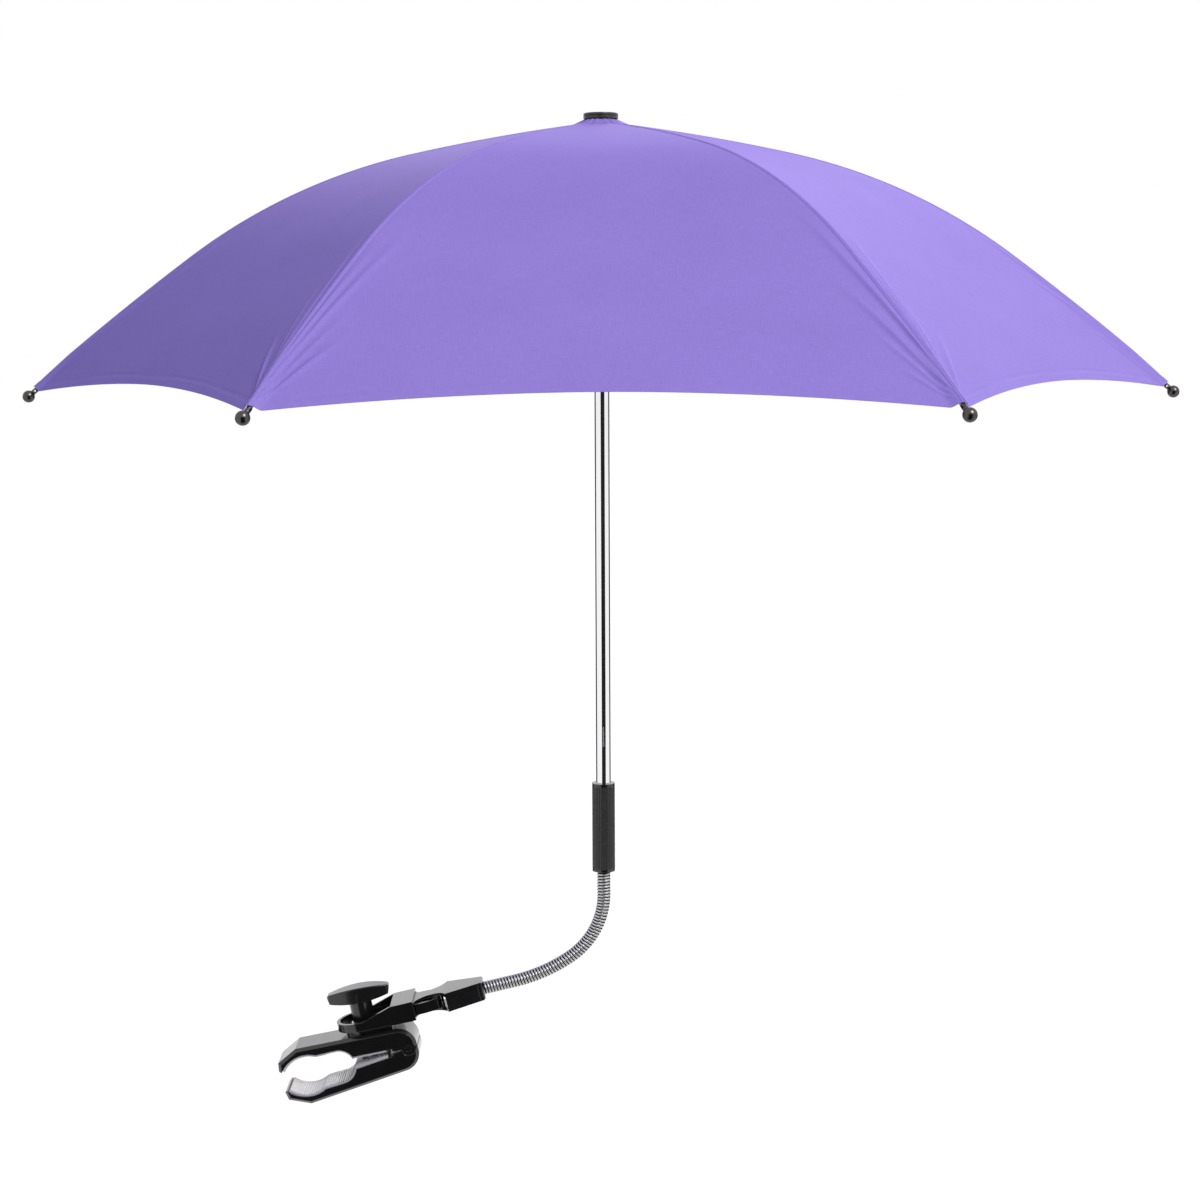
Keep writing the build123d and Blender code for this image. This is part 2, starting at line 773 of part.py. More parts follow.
def rib():
    """A bent wire from the crown's ring to the tip, with an eye and a riveted boss."""
    path, along, end = [], rib_wire_start, 0.0
    for radius, turn in rib_arcs:
        end += radius * math.radians(turn)
        points = [rib_point(along), rib_point((along + end) / 2), rib_point(end)]
        path.append(ThreePointArc(*[(r, 0, z) for r, z, _ in points]))
        along = end
    r, z, slope = rib_point(rib_wire_start)
    dx, dz = turned(1, 0, -slope)
    section = Plane(origin=(r, 0, z), x_dir=(0, 1, 0), z_dir=(dx, 0, dz)) * Circle(rib_wire_r)
    wire = sweep(section, path=Wire(path))
    wire += Pos(pivot_r, 0, 0) * (Rot(0, rib_start_slope, 0) * eye())
    wire += Pos(joint_r, 0, joint_z) * rod(rib_boss_r, 2 * rib_wire_r)
    return wire - Pos(joint_r, 0, joint_z) * rod(rivet_r + running_gap, 4 * rib_wire_r)


def rib_tip():
    r, z, slope = rib_point(rib_run)
    neck = Pos(tip_reach / 2, 0, 0) * (Rot(0, 90, 0) * Cylinder(tip_neck_r, tip_reach))
    ball = Pos(tip_reach, 0, 0) * Sphere(tip_ball_r)
    eye_hole = Pos(tip_eye_reach, 0, 0) * rod(tip_eye_r, 3 * tip_neck_r)
    return Pos(r, 0, z) * (Rot(0, slope, 0) * (neck + ball - eye_hole))


def stretcher():
    """A bar from the runner's ring to a fork and rivet round the rib's boss."""
    cheek_in = rib_wire_r + loose_gap / 2
    cheek_out = cheek_in + cheek_thickness
    bar_end = link_length - fork_bridge_reach + 1
    bar_length = bar_end - rib_wire_start
    bar = Pos(rib_wire_start + bar_length / 2, 0, 0) * (Rot(0, 90, 0) * Cylinder(stretcher_r, bar_length))
    body = eye() + bar
    bridge_low, bridge_high = link_length - cheek_length, link_length - fork_bridge_reach
    body += block(bridge_low, bridge_high, -cheek_out, cheek_out, -stretcher_r, stretcher_r)
    for side in (1, -1):
        low, high = sorted((side * cheek_in, side * cheek_out))
        body += block(bridge_low, link_length, low, high, -rib_wire_r, rib_wire_r)
        body += Pos(link_length, (low + high) / 2, 0) * rod(cheek_r, high - low)
    rivet = Pos(link_length, 0, 0) * rod(rivet_r, 2 * (cheek_out + rivet_head))
    return Pos(pivot_r, 0, 2 * joint_z) * (Rot(0, -link_angle, 0) * (body + rivet))


def canopy_line(along, depth):
    """A point of the fabric's ridge over a rib, a depth under its outer face."""
    r, z, slope = rib_point(along)
    a = math.radians(slope)
    lift = fabric_lift + fabric_thickness - depth
    return r + lift * math.sin(a), z + lift * math.cos(a)


def canopy_ridge(depth):
    """The fabric's ridge from the hole under the cap to the hem."""
    top = crown_hub_up + loose_gap + fabric_thickness - depth
    ridge = [(fabric_hole_r, top), (fabric_neck_r, top)]
    last = 0.0
    while canopy_line(last, 0)[0] < fabric_edge_r and last < rib_run:
        last += 0.25
    first = 0.0
    while canopy_line(first, 0)[0] < fabric_collar_r:
        first += 0.25
    for n in range(fabric_sections):
        ridge.append(canopy_line(first + (last - first) * n / (fabric_sections - 1), depth))
    return ridge


def canopy_gore():
    """One gore between the ribs at 0 and 60 degrees, cut to its curved hem."""
    outer, inner = canopy_ridge(0), canopy_ridge(fabric_thickness)
    c, s = math.cos(math.radians(360 / ribs)), math.sin(math.radians(360 / ribs))
    sections = []
    for (ro, zo), (ri, zi) in zip(outer, inner):
        corners = [(ro, 0, zo), (ro * c, ro * s, zo), (ri * c, ri * s, zi), (ri, 0, zi)]
        sections.append(make_face(Polyline(*corners, close=True)))
    gore = loft(sections, ruled=True)
    (r_edge, z_edge), (r_before, z_before) = outer[-1], outer[-2]
    half_angle = math.radians(180 / ribs)
    slope = (z_before - z_edge) / ((r_edge - r_before) * math.cos(half_angle))
    sagitta = hem_rise / slope
    half_chord = r_edge * math.sin(half_angle)
    mid_r = r_edge * math.cos(half_angle) + 0.6
    cutter_r = (half_chord**2 + sagitta**2) / (2 * sagitta)
    centre = mid_r - sagitta + cutter_r
    place = (centre * math.cos(half_angle), centre * math.sin(half_angle), z_edge)
    return gore - Pos(*place) * Cylinder(cutter_r, fabric_edge_r)


def canopy():
    gore = canopy_gore()
    whole = Part() + [Rot(0, 0, 360 * n / ribs) * gore for n in range(ribs)]
    return Pos(pole_x, 0, crown_z) * whole


def canopy_cap():
    """A button with a rounded top, a groove round its middle and a spigot in the pole."""
    low = crown_z + crown_hub_up + loose_gap + fabric_thickness + fit_gap
    disc = disc_up(cap_r, low, low + cap_height)
    disc = fillet(disc.edges().sort_by(Axis.Z)[-1], cap_round)
    groove_low = low + (cap_height - cap_groove) / 2
    groove_high = groove_low + cap_groove
    disc -= disc_up(cap_r + 1, groove_low, groove_high) - disc_up(cap_r - cap_groove, low, low + cap_height)
    spigot = disc_up(pole_r - pole_wall - fit_gap, low - cap_plug_depth, low + 1)
    return Pos(pole_x, 0, 0) * (disc + spigot)


# Sub-parts and where they stand
parts = {
    "upper_jaw": upper_frame * upper_jaw(),
    "upper_jaw_pad": upper_frame * jaw_pad(),
    "lower_jaw": lower_frame * lower_jaw(),
    "lower_jaw_pad": lower_frame * (Rot(180, 0, 0) * jaw_pad()),
    "hinge_pin": upper_frame * rod(hinge_pin_r, jaw_width - 1),
    "clamp_nut": upper_frame * clamp_nut(),
    "clamp_screw": upper_frame * clamp_screw(),
    "clamp_knob": upper_frame * clamp_knob(),
    "friction_washer": upper_frame * washer(friction_washer_r, washer_low),
    "knob_washer": upper_frame * washer(knob_washer_r, knob_washer_low),
    "swivel_bracket": upper_frame * swivel_bracket(),
    "plug_body": plug_frame * plug_body(),
    "plug_end_cap": plug_frame * plug_end_cap(),
    "latch_arm_front": plug_frame * latch_arm(-1),
    "latch_arm_rear": plug_frame * latch_arm(1),
    "gooseneck": gooseneck(),
    "sleeve": Pos(pole_x, 0, sleeve_low) * sleeve(),
    "pole": pole(),
    "lower_catch": runner_catch(lower_catch_z, -1),
    "upper_catch": runner_catch(upper_catch_z, 1),
    "crown": crown(),
    "crown_ring": Pos(pole_x, 0, crown_z) * ring_wire(),
    "runner": runner(),
    "runner_ring": Pos(pole_x, 0, runner_z) * ring_wire(),
    "canopy": canopy(),
    "canopy_cap": canopy_cap(),
}
one_rib, one_tip, one_stretcher = rib(), rib_tip(), stretcher()
for n in range(ribs):
    spoke = Pos(pole_x, 0, crown_z) * Rot(0, 0, 360 * n / ribs)
    parts[f"rib_{n + 1}"] = spoke * one_rib
    parts[f"rib_tip_{n + 1}"] = spoke * one_tip
    parts[f"stretcher_{n + 1}"] = spoke * one_stretcher

os.makedirs("parts", exist_ok=True)
for name, solid in parts.items():
    export_step(solid, f"parts/{name}.step")

print(f"hinge pin at x {pin_x:.4f} z {pin_z:.4f}")
print(f"pole x {pole_x:.4f}, sleeve foot {sleeve_low:.4f}")
print(f"crown pivots {crown_z:.4f}, runner {runner_z:.4f}")
print(f"rib joint at radius {joint_r:.4f}, height {crown_z + joint_z:.4f}, link angle {link_angle:.4f}")
print(f"gooseneck length {hose_length:.1f}, plug end x {hose_start.X:.4f} z {hose_start.Z:.4f}")
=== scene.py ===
import bpy
import math
import numpy as np
from mathutils import Matrix, Vector


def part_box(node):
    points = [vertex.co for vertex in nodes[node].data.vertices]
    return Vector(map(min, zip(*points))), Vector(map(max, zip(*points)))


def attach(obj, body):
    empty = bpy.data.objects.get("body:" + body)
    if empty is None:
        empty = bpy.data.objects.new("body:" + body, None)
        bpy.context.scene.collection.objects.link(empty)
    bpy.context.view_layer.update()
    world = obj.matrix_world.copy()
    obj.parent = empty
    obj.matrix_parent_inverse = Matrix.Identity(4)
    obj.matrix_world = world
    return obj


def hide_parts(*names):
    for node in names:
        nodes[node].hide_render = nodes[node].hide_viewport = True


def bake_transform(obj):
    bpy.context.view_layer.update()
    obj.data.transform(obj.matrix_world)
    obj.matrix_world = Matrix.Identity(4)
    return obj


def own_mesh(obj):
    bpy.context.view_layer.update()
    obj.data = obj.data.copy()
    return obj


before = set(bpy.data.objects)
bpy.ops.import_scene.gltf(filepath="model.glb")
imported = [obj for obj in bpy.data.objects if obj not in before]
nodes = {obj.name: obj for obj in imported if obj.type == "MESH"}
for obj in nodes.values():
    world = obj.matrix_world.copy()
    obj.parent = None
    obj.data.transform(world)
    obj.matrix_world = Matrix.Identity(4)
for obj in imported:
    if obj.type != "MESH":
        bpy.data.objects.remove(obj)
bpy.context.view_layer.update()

# Clamp jaws and hinge. Both jaws are injection-moulded black nylon, turned about a plated steel pin.
# The moulding has a fine eroded grain, and its edges are polished a little by handling.


def plain_finish(name, colour, metal, rough):
    """A new material with its shader's own colour, metal and roughness set."""
    finish = bpy.data.materials.new(name)
    finish.use_nodes = True
    shader = finish.node_tree.nodes["Principled BSDF"]
    shader.inputs["Base Color"].default_value = (*colour, 1.0)
    shader.inputs["Metallic"].default_value = metal
    shader.inputs["Roughness"].default_value = rough
    return finish, finish.node_tree.nodes, finish.node_tree.links, shader


def noise(made, scale, detail):
    """A noise texture, its scale in turns per metre."""
    texture = made.new("ShaderNodeTexNoise")
    texture.inputs["Scale"].default_value = scale
    texture.inputs["Detail"].default_value = detail
    return texture


def two_tones(made, dark, light):
    """A blend of two tones, for a texture to drive."""
    tint = made.new("ShaderNodeMix")
    tint.data_type = "RGBA"
    tint.inputs["A"].default_value = (*dark, 1.0)
    tint.inputs["B"].default_value = (*light, 1.0)
    return tint


def fine_relief(made, strength, depth):
    """A bump whose depth is in metres."""
    relief = made.new("ShaderNodeBump")
    relief.inputs["Strength"].default_value = strength
    relief.inputs["Distance"].default_value = depth
    return relief


def moulded_plastic(name, colour, rough, grain_mm, grain_depth, scuff=0.08, skin=1.0):
    """Moulded plastic: a glossy moulding skin, eroded grain, cloudy gloss and slightly rounded edges."""
    finish, made, links, shader = plain_finish(name, colour, 0.0, rough)
    shader.inputs["Specular IOR Level"].default_value = 0.25
    shader.inputs["Coat Weight"].default_value = skin
    shader.inputs["Coat Roughness"].default_value = rough * 0.45
    shader.inputs["Coat IOR"].default_value = 1.5
    soft_edge = made.new("ShaderNodeBevel")
    soft_edge.samples = 4
    soft_edge.inputs["Radius"].default_value = 0.0005
    place = made.new("ShaderNodeTexCoord")
    grain = noise(made, 1000.0 / grain_mm, 3.0)
    cloud = noise(made, 90.0, 4.0)
    gloss = made.new("ShaderNodeMapRange")
    gloss.inputs["To Min"].default_value = rough - scuff
    gloss.inputs["To Max"].default_value = rough + scuff
    tint = two_tones(made, [c * 0.85 for c in colour], [c * 1.25 + 0.001 for c in colour])
    relief = fine_relief(made, grain_depth, 0.0001)
    for texture in (grain, cloud):
        links.new(place.outputs["Object"], texture.inputs["Vector"])
    links.new(cloud.outputs["Fac"], gloss.inputs["Value"])
    links.new(gloss.outputs["Result"], shader.inputs["Roughness"])
    links.new(cloud.outputs["Fac"], tint.inputs["Factor"])
    links.new(tint.outputs["Result"], shader.inputs["Base Color"])
    links.new(grain.outputs["Fac"], relief.inputs["Height"])
    links.new(soft_edge.outputs["Normal"], relief.inputs["Normal"])
    links.new(relief.outputs["Normal"], shader.inputs["Normal"])
    links.new(relief.outputs["Normal"], shader.inputs["Coat Normal"])
    return finish


def plated_metal(name, colour, rough, streak_mm, streak_depth, stretch=(1.0, 1.0, 0.05)):
    """Plated or drawn metal: long faint streaks in its gloss and its relief, along one direction."""
    finish, made, links, shader = plain_finish(name, colour, 1.0, rough)
    place = made.new("ShaderNodeTexCoord")
    along = made.new("ShaderNodeMapping")
    along.inputs["Scale"].default_value = stretch
    streak = noise(made, 1000.0 / streak_mm, 3.0)
    gloss = made.new("ShaderNodeMapRange")
    gloss.inputs["To Min"].default_value = rough * 0.7
    gloss.inputs["To Max"].default_value = rough * 1.4
    relief = fine_relief(made, streak_depth, 0.00005)
    links.new(place.outputs["Object"], along.inputs["Vector"])
    links.new(along.outputs["Vector"], streak.inputs["Vector"])
    links.new(streak.outputs["Fac"], gloss.inputs["Value"])
    links.new(gloss.outputs["Result"], shader.inputs["Roughness"])
    links.new(streak.outputs["Fac"], relief.inputs["Height"])
    links.new(relief.outputs["Normal"], shader.inputs["Normal"])
    return finish


def finish_nodes(finish, *names):
    """Give CAD nodes one finish."""
    for name in names:
        mesh = nodes[name].data
        mesh.materials.clear()
        mesh.materials.append(finish)


jaw_black = moulded_plastic("jaw black nylon", (0.004, 0.004, 0.0042), 0.24, 0.6, 0.12)
zinc = plated_metal("zinc plated steel", (0.62, 0.62, 0.64), 0.28, 0.8, 0.2)
black_steel = plated_metal("blackened pin steel", (0.03, 0.03, 0.03), 0.4, 0.8, 0.2)
finish_nodes(jaw_black, "upper_jaw", "lower_jaw")
finish_nodes(black_steel, "hinge_pin")
finish_nodes(zinc, "clamp_nut", "clamp_screw", "knob_washer")

# Jaw pads. Soft frosted silicone strips lie in both jaws and grip the pushchair's tube.
# Fine ribs run across the tube's hollow, and the strip goes on as a thin flange towards the hinge.
# The deepest faces of the grooves between the ribs get a darker grey: painted shade.

tube_r = 0.010
pad_wall = 0.0018
pad_half_width = 0.0134
pad_rib_depth = 0.0008
pad_rib_pitch = 0.0017
pad_rib_sharpness = 0.6
pad_front_ribs = 0.35
# Faces cut deeper than this get the painted shade of the grooves.
pad_groove_shade_from = 0.55 * pad_rib_depth
pad_edge_width, pad_edge_drop = 0.0004, 0.0003
pad_parting_gap = 0.0002

# Reaches are measured from the hinge pin towards the jaws' nose, and sinks from the parting line.
tube_reach = 0.0485
jaw_tilt = math.radians(11.3)
jaw_opening = math.radians(8.0)
tube_sink = tube_reach * math.tan(jaw_opening / 2)
front_reach, front_sink, front_r = 0.0701, 0.0107, 0.0185
cusp_reach = 0.0625
pad_back = 0.0152
grip_from, grip_to = tube_reach + 0.006, tube_reach - 0.0095
screw_reach = 0.027
slot_half = 0.0035
slot_front, slot_rear = screw_reach + 0.008, screw_reach - 0.004
pin = Vector((
    tube_reach * math.cos(jaw_tilt) - tube_sink * math.sin(jaw_tilt),
    0.0,
    tube_reach * math.sin(jaw_tilt) + tube_sink * math.cos(jaw_tilt),
))


def pad_outline(steps=260):
    """Points of the pad's gripping face from the nose to the hinge, over the parting line, in metres."""
    line = []
    front_edge = front_reach + math.sqrt(front_r**2 - front_sink**2) - pad_parting_gap
    for n in range(steps + 1):
        x = -front_edge + (front_edge - pad_back) * n / steps
        if x < -cusp_reach:
            z = math.sqrt(max(front_r**2 - (x + front_reach) ** 2, 0.0)) - front_sink
        elif x < -tube_reach:
            cusp = math.sqrt(front_r**2 - (front_reach - cusp_reach) ** 2) - front_sink
            share = (x + cusp_reach) / (cusp_reach - tube_reach)
            z = cusp + (tube_r - tube_sink - cusp) * share
        elif x < -tube_reach + math.sqrt(tube_r**2 - tube_sink**2):
            z = math.sqrt(tube_r**2 - (x + tube_reach) ** 2) - tube_sink
        else:
            z = 0.0
        line.append((x, z))
    return line


def soft_silicone(name):
    """Frosted silicone: a pale translucent body with a fine grain and dusty, uneven gloss."""
    finish, made, links, shader = plain_finish(name, (0.56, 0.56, 0.55), 0.0, 0.55)
    shader.inputs["Subsurface Weight"].default_value = 0.12
    shader.inputs["Subsurface Radius"].default_value = (1.0, 1.0, 1.0)
    shader.inputs["Subsurface Scale"].default_value = 0.0015
    place = made.new("ShaderNodeTexCoord")
    dust = noise(made, 240.0, 5.0)
    tint = two_tones(made, (0.50, 0.50, 0.492), (0.62, 0.62, 0.61))
    relief = fine_relief(made, 0.3, 0.0001)
    links.new(place.outputs["Object"], dust.inputs["Vector"])
    links.new(dust.outputs["Fac"], tint.inputs["Factor"])
    links.new(tint.outputs["Result"], shader.inputs["Base Color"])
    links.new(dust.outputs["Fac"], relief.inputs["Height"])
    links.new(relief.outputs["Normal"], shader.inputs["Normal"])
    return finish


def new_piece(name, points, faces, finish, smooth=True):
    """A mesh object in the scene from points and faces, with one finish."""
    mesh = bpy.data.meshes.new(name)
    mesh.from_pydata([tuple(p) for p in points], [], faces)
    mesh.validate()
    mesh.polygons.foreach_set("use_smooth", [smooth] * len(mesh.polygons))
    mesh.materials.append(finish)
    piece = bpy.data.objects.new(name, mesh)
    bpy.context.scene.collection.objects.link(piece)
    return piece


def jaw_pad(name, side, finish, groove_shade_finish):
    """A ribbed strip, with painted shade on its deep groove faces: side is 1 for the upper jaw and -1 for
    the lower one.
    """
    tilt = jaw_tilt if side > 0 else jaw_tilt + jaw_opening
    line = pad_outline()
    along, travel = [0.0], 0.0
    for (x0, z0), (x1, z1) in zip(line, line[1:]):
        travel += math.hypot(x1 - x0, z1 - z0)
        along.append(travel)
    normals = []
    for n in range(len(line)):
        (x0, z0), (x1, z1) = line[max(n - 1, 0)], line[min(n + 1, len(line) - 1)]
        length = math.hypot(x1 - x0, z1 - z0)
        normals.append((-(z1 - z0) / length, (x1 - x0) / length))
    ribbed, depths, grooves = [], [], []
    for (x, z), (nx, nz), s in zip(line, normals, along):
        weight = 1.0 if -grip_from < x < -grip_to else pad_front_ribs
        wave = 0.5 - 0.5 * math.cos(2 * math.pi * s / pad_rib_pitch)
        cut = pad_rib_depth * weight * wave**pad_rib_sharpness
        ribbed.append((x + nx * cut, z + nz * cut))
        depths.append(cut)
    back = [(x + nx * pad_wall, z + nz * pad_wall) for (x, z), (nx, nz) in zip(line, normals)]
    back = [(x, max(z, pad_parting_gap)) for x, z in back]
    pad_rim = pad_half_width - pad_edge_width
    rows = [-pad_half_width, -pad_rim, -slot_half, slot_half, pad_rim, pad_half_width]
    points, faces = [], []
    for k, y in enumerate(rows):
        inset = pad_edge_drop if k in (0, len(rows) - 1) else 0.0
        for (x, z), (nx, nz) in zip(ribbed, normals):
            points.append((x + nx * inset, y, z + nz * inset))
        for x, z in back:
            points.append((x, y, z))
    count = len(line)
    ring = 2 * count
    slot_row = rows.index(-slot_half)
    in_slot = [-slot_front < x < -slot_rear for x, _ in line]
    for k in range(len(rows) - 1):
        for n in range(count - 1):
            if k == slot_row and in_slot[n]:
                continue
            a, b = k * ring + n, (k + 1) * ring + n
            # Faces deep in a groove get the second finish: painted shade.
            if depths[n] > pad_groove_shade_from:
                grooves.append(len(faces))
            faces.append((a, a + 1, b + 1, b))
            a, b = a + count, b + count
            faces.append((b, b + 1, a + 1, a))
        for n, flip in ((0, False), (count - 1, True)):
            quad = (k * ring + n, (k + 1) * ring + n, (k + 1) * ring + count + n, k * ring + count + n)
            faces.append(quad[::-1] if flip else quad)
    for n in range(count - 1):
        faces.append((n + count, n + count + 1, n + 1, n))
        a = (len(rows) - 1) * ring + n
        faces.append((a, a + 1, a + count + 1, a + count))
    for n in range(count - 1):
        before = in_slot[n - 1] if n else False
        if in_slot[n] != before:
            a, b = slot_row * ring + n, (slot_row + 1) * ring + n
            quad = (a, b, b + count, a + count)
            faces.append(quad if in_slot[n] else quad[::-1])
        if in_slot[n]:
            for k, flip in ((slot_row, False), (slot_row + 1, True)):
                a = k * ring + n
                quad = (a, a + 1, a + count + 1, a + count)
                faces.append(quad[::-1] if flip else quad)
    c, s = math.cos(tilt), math.sin(tilt)
    placed = []
    for x, y, z in points:
        z *= side
        placed.append((pin.x + x * c - z * s, y, pin.z + x * s + z * c))
    if side > 0:
        faces = [face[::-1] for face in faces]
    piece = new_piece(name, placed, faces, finish, smooth=False)
    piece.data.materials.append(groove_shade_finish)
    for number in grooves:
        piece.data.polygons[number].material_index = 1
    return piece


silicone = soft_silicone("frosted silicone")
# A darker grey for the deep groove faces: painted shade, not the silicone's own colour.
silicone_groove_shade, _, _, _ = plain_finish("painted shade in the pad grooves", (0.22, 0.22, 0.21), 0.0, 0.6)
for node, body, side in (("upper_jaw_pad", "upper_clamp", 1), ("lower_jaw_pad", "lower_clamp", -1)):
    pad = jaw_pad("ribbed_" + node, side, silicone, silicone_groove_shade)
    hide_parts(node)
    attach(pad, body)

# Knob, its stem and the washers. The knob is a moulded wing pressed on the screw's head.
# A nylon washer under the bracket lets it swivel, and a plated one lets the knob turn on the bracket.

knob_black = moulded_plastic("knob black plastic", (0.006, 0.006, 0.0064), 0.34, 0.7, 0.15)
nylon = moulded_plastic("black nylon washer", (0.012, 0.012, 0.012), 0.45, 0.5, 0.2)
finish_nodes(knob_black, "clamp_knob")
finish_nodes(nylon, "friction_washer")

# Swivel bracket. A rimmed dish turns under the knob and carries a flat socket between two gussets.
# It is moulded in the same black nylon as the jaws, with a finer grain.

bracket_black = moulded_plastic("bracket black nylon", (0.004, 0.004, 0.0042), 0.22, 0.5, 0.08)
finish_nodes(bracket_black, "swivel_bracket")

# Quick-release plug. Its body and end cap hold the gooseneck, and two glossy arms squeeze to free it.
# The arms turn on posts in the waist and carry the catches inside the socket.

plug_black = moulded_plastic("plug black plastic", (0.005, 0.005, 0.0054), 0.24, 0.6, 0.1)
arm_black = moulded_plastic("glossy arm plastic", (0.004, 0.004, 0.0042), 0.13, 0.9, 0.05, scuff=0.04)
finish_nodes(plug_black, "plug_body", "plug_end_cap")
finish_nodes(arm_black, "latch_arm_front", "latch_arm_rear")

# Gooseneck. A rounded steel strip is wound round a spring into a hose that stays where it is bent.
# One turn follows the last at a steady pitch, and it is nickel plated; the gaps between the turns are
# painted near black as shade.

neck_start = Vector((0.0976154, 0.0, 0.0502578))
neck_heading = math.radians(13.3)
neck_low_straight, neck_high_straight = 0.0215, 0.0161
neck_low_r, neck_high_r = 0.112, 0.0526
neck_high_turn = math.radians(55.6)
neck_low_turn = math.radians(90) - neck_high_turn - neck_heading
neck_crest_r, neck_root_r, neck_pitch = 0.0045, 0.0034, 0.0021
# Share of each turn, about the root between two turns, that gets the painted shade.
neck_gap_shade_share = 0.42
neck_in_plug, neck_in_sleeve = 0.010, 0.018
neck_bends = neck_low_r * neck_low_turn + neck_high_r * neck_high_turn
neck_length = neck_low_straight + neck_bends + neck_high_straight


def neck_place(along):
    """A point on the gooseneck's middle line and its heading above +X."""
    x, z, heading = neck_start.x, neck_start.z, neck_heading
    legs = (
        (None, neck_low_straight),
        (neck_low_r, neck_low_turn),
        (neck_high_r, neck_high_turn),
        (None, neck_high_straight),
    )
    if along < 0:
        return x + along * math.cos(heading), z + along * math.sin(heading), heading
    for radius, amount in legs:
        length = amount if radius is None else radius * amount
        step = min(along, length)
        if radius is None:
            x += step * math.cos(heading)
            z += step * math.sin(heading)
        else:
            turn = step / radius
            x += radius * (math.sin(heading + turn) - math.sin(heading))
            z += radius * (math.cos(heading) - math.cos(heading + turn))
            heading += turn
        along -= step
    return x + along * math.cos(heading), z + along * math.sin(heading), heading


def gooseneck_half(name, start, stop, finish, gap_shade_finish):
    """A stretch of the wound hose: its radius follows the winding round and along the hose."""
    sides, rings_per_turn = 36, 12
    rings = int((stop - start) / neck_pitch * rings_per_turn)
    points, faces = [], []
    for n in range(rings + 1):
        along = start + (stop - start) * n / rings
        x, z, heading = neck_place(along)
        for k in range(sides):
            angle = 2 * math.pi * k / sides
            phase = (along / neck_pitch + k / sides) % 1.0
            swell = math.sqrt(max(0.0, 1.0 - (2 * phase - 1.0) ** 2))
            radius = neck_root_r + (neck_crest_r - neck_root_r) * swell
            lift = radius * math.cos(angle)
            aside = radius * math.sin(angle)
            points.append((x - lift * math.sin(heading), aside, z + lift * math.cos(heading)))
    for n in range(rings):
        for k in range(sides):
            a, b = n * sides + k, n * sides + (k + 1) % sides
            faces.append((a, b, b + sides, a + sides))
    faces.append(tuple(range(sides))[::-1])
    faces.append(tuple(rings * sides + k for k in range(sides)))
    piece = new_piece(name, points, faces, finish)
    piece.data.materials.append(gap_shade_finish)
    # Faces near the root between two turns get the second finish: painted shade in the gaps.
    for n in range(rings):
        for k in range(sides):
            along = start + (stop - start) * (n + 0.5) / rings
            phase = (along / neck_pitch + (k + 0.5) / sides) % 1.0
            if phase < neck_gap_shade_share / 2 or phase > 1 - neck_gap_shade_share / 2:
                piece.data.polygons[n * sides + k].material_index = 1
    return piece


even = (1.0, 1.0, 1.0)
hose_metal = plated_metal("nickel plated hose", (0.56, 0.56, 0.56), 0.36, 0.8, 0.15, even)
# A near-black finish for the gaps between the turns: painted shade rather than oil.
hose_gap_shade = plated_metal("painted shade between hose turns", (0.02, 0.02, 0.02), 0.5, 0.8, 0.2, even)
neck_middle = neck_length / 2
for name, first, last, body_a, body_b in (
    ("gooseneck_low", -neck_in_plug, neck_middle, "plug", "neck"),
    ("gooseneck_high", neck_middle, neck_length + neck_in_sleeve, "neck", "mast"),
):
    half = gooseneck_half(name, first, last, hose_metal, hose_gap_shade)
    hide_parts("gooseneck")
    blend_from, blend_to = (0.0, neck_middle) if body_a == "plug" else (neck_middle, neck_length)
    ax, az, _ = neck_place(blend_from)
    bx, bz, _ = neck_place(blend_to)
    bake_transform(half)

# Pole with its sleeve and runner catches. The tube is chrome-plated steel, pushed into a fluted grip.
# A leaf spring's tooth stands out of the tube where the runner is held, open or folded.

pole_chrome = plated_metal("pole chrome", (0.86, 0.86, 0.87), 0.05, 1.2, 0.0)
sleeve_black = moulded_plastic("sleeve black plastic", (0.005, 0.005, 0.0052), 0.26, 0.5, 0.1)
finish_nodes(pole_chrome, "pole")
finish_nodes(sleeve_black, "sleeve")
finish_nodes(zinc, "lower_catch", "upper_catch")

# Crown and runner. Both are moulded hubs with six slots, and a wire ring holds the eyes in each.
# The crown sits on the pole's top end, and the runner slides on the pole to open and fold the frame.

hub_black = moulded_plastic("hub black plastic", (0.008, 0.008, 0.0084), 0.4, 0.6, 0.2)
frame_steel = plated_metal("plated frame wire", (0.6, 0.6, 0.62), 0.24, 0.6, 0.2, stretch=(0.2, 0.2, 1.0))
finish_nodes(hub_black, "crown", "runner")
finish_nodes(frame_steel, "crown_ring", "runner_ring")

# Ribs, stretchers and tips. The ribs are bent from plated wire, with a stretcher's fork riveted on.
# Each ends in a dark polished ball whose neck is sewn to the canopy's corner.

ribs = 6
tip_metal = plated_metal("dark polished tip", (0.085, 0.081, 0.077), 0.26, 0.9, 0.1, even)
for n in range(1, ribs + 1):
    finish_nodes(frame_steel, f"rib_{n}", f"stretcher_{n}")
    finish_nodes(tip_metal, f"rib_tip_{n}")

# Canopy. Six gores of woven polyester are sewn along the ribs and hemmed between the tips.
# Each gore is made as two halves that share a border, so that each half can fold with its own rib.

# The cloth's ridge runs over the rib: the rib's arcs, each a radius in metres and a turn in degrees.
rib_arcs = ((1.240, 5.3), (0.378, 24.0), (1.900, 4.0))
rib_start_slope = 7.0
pivot_r = 0.009
ring_wire_r = 0.0006
cloth_lift = 0.0032
cloth_wall = 0.0004
corner_lift, corner_lift_reach = 0.0023, 0.030
corner_drop, corner_drop_reach = 0.0032, 0.080
corner_drop_from, corner_drop_full = 0.0012, 0.0065

